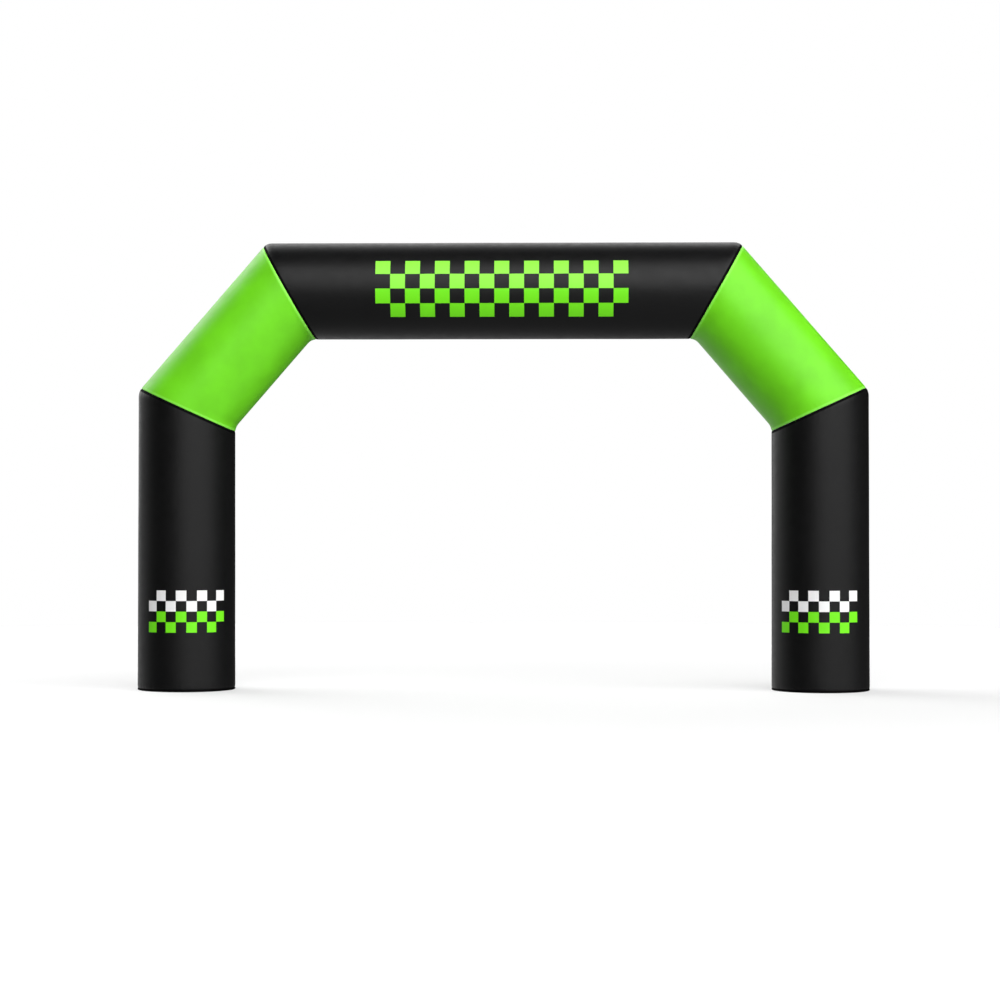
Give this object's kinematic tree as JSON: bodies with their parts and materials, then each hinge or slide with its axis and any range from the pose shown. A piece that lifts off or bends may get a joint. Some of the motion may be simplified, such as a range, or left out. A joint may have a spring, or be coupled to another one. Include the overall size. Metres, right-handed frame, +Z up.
{
  "type": "inflatable arch",
  "caption": "Free-standing inflatable race arch: two upright legs, two sloping shoulders and a level crossbeam, all round tubes of sewn cloth.",
  "frame": {"origin": "on the ground, midway between the middles of the two feet", "axes": "+X along the crossbeam, towards the right leg as seen from the front; +Y towards the back, so -Y is the front; +Z up"},
  "size_m": [5.9968, 0.7968, 3.667],
  "materials": {
    "black_cloth": "coated polyester cloth, satin",
    "green_cloth": "coated polyester cloth, satin",
    "base_cloth": "heavy coated ground cloth, matt"
  },
  "bodies": {
    "root": {"base_left": "base_cloth", "base_right": "base_cloth", "leg_left": "black_cloth", "leg_right": "black_cloth", "shoulder_left": "green_cloth", "shoulder_right": "green_cloth", "crossbeam": "black_cloth"}
  },
  "joints": []
}
